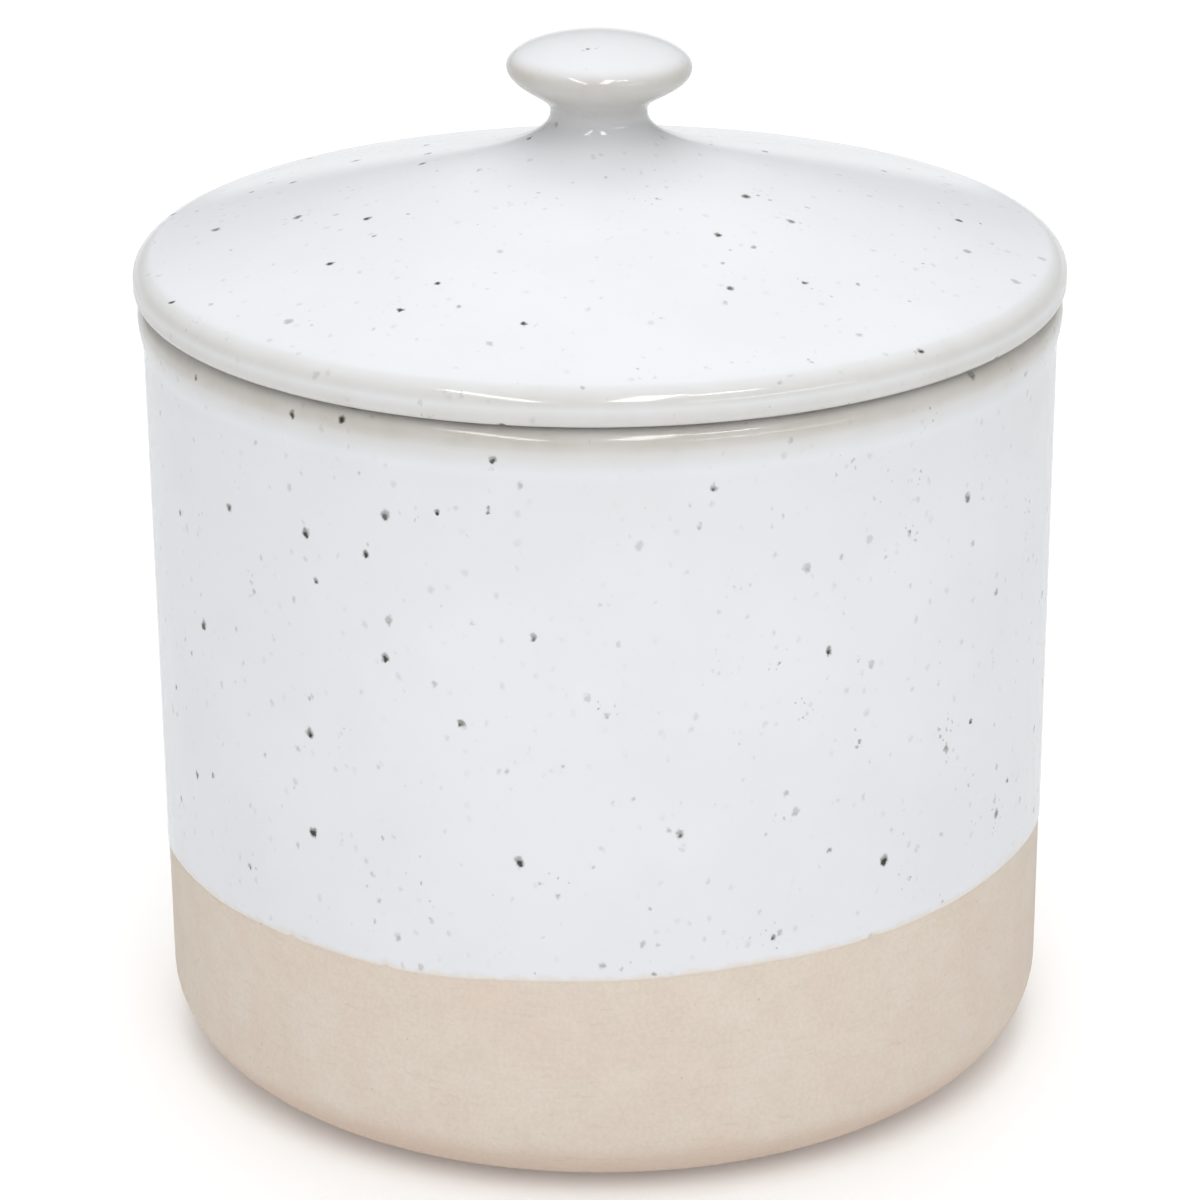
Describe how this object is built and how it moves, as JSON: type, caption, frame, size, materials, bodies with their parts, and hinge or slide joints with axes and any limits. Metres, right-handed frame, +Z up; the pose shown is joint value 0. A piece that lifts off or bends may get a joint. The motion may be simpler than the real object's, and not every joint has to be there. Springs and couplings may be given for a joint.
{
  "type": "butter crock",
  "caption": "Round glazed stoneware butter crock: a flared pot that holds water, with a knobbed lid that carries a butter bell into it.",
  "frame": {"origin": "centre of the foot's resting face, which is the lowest face of the pot", "axes": "+Z is up, along the axis that every piece is turned about; +X and +Y are free, because the crock is round"},
  "size_m": [0.12, 0.12, 0.1354],
  "materials": {
    "pot_glaze": "gloss white glaze with dark iron specks over warm beige stoneware, bare in a band at the foot",
    "lid_glaze": "gloss white glaze with dark iron specks",
    "knob_glaze": "gloss white glaze",
    "bell_glaze": "gloss white glaze, thinner on the lip"
  },
  "bodies": {
    "pot": {"crock_pot": "pot_glaze"},
    "lid": {"crock_lid": "lid_glaze", "lid_knob": "knob_glaze", "butter_bell": "bell_glaze"}
  },
  "joints": [
    {"name": "lid_lift", "type": "slide", "parent": "pot", "child": "lid", "axis": [0, 0, 1], "range_m": [0, 0.09]}
  ]
}
